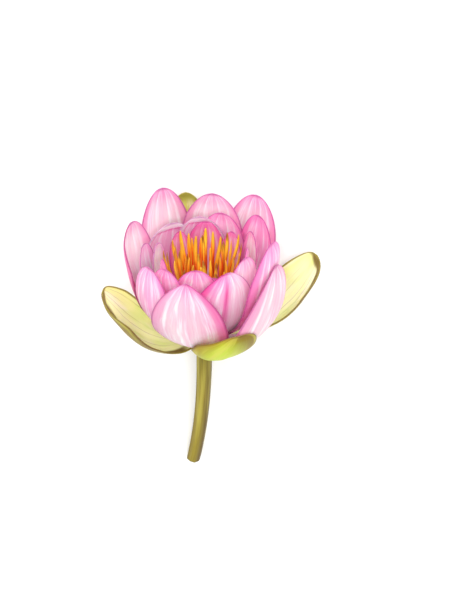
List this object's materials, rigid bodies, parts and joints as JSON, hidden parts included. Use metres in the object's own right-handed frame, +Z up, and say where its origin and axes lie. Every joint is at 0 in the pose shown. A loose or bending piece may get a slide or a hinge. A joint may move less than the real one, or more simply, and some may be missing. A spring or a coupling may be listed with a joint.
{
  "type": "water lily flower",
  "caption": "Open, cupped water lily flower with pink petals in layers, golden stamens, green-backed sepals and a short cut stalk, lying on its back.",
  "frame": {"origin": "centre of the footprint, on the surface the flower lies on", "axes": "+Y from the cut end of the stalk towards the open top of the flower, +Z up from the surface, +X to the flower's right when its top points away from the viewer"},
  "size_m": [0.1342, 0.1852, 0.1026],
  "materials": {
    "petal_outer": "matte, pale pink with deeper edges",
    "petal_second": "matte, pink with deeper edges",
    "petal_third": "matte, deep pink",
    "petal_inner": "matte, deepest pink",
    "sepal": "satin, olive outside and cream inside",
    "stem": "satin, olive brown, streaked",
    "pistil": "satin, yellow",
    "stamens": "matte, golden orange"
  },
  "bodies": {
    "root": {"sepal_right": "sepal", "sepal_back": "sepal", "sepal_left": "sepal", "sepal_front": "sepal", "petal_outer_1": "petal_outer", "petal_outer_2": "petal_outer", "petal_outer_3": "petal_outer", "petal_outer_4": "petal_outer", "petal_outer_5": "petal_outer", "petal_outer_6": "petal_outer", "petal_second_1": "petal_second", "petal_second_2": "petal_second", "petal_second_3": "petal_second", "petal_second_4": "petal_second", "petal_second_5": "petal_second", "petal_second_6": "petal_second", "petal_second_7": "petal_second", "petal_second_8": "petal_second", "petal_third_1": "petal_third", "petal_third_2": "petal_third", "petal_third_3": "petal_third", "petal_third_4": "petal_third", "petal_third_5": "petal_third", "petal_third_6": "petal_third", "petal_inner_1": "petal_inner", "petal_inner_2": "petal_inner", "petal_inner_3": "petal_inner", "petal_inner_4": "petal_inner", "petal_inner_5": "petal_inner", "stem": "stem", "pistil": "pistil", "stamens": "stamens"}
  },
  "joints": []
}
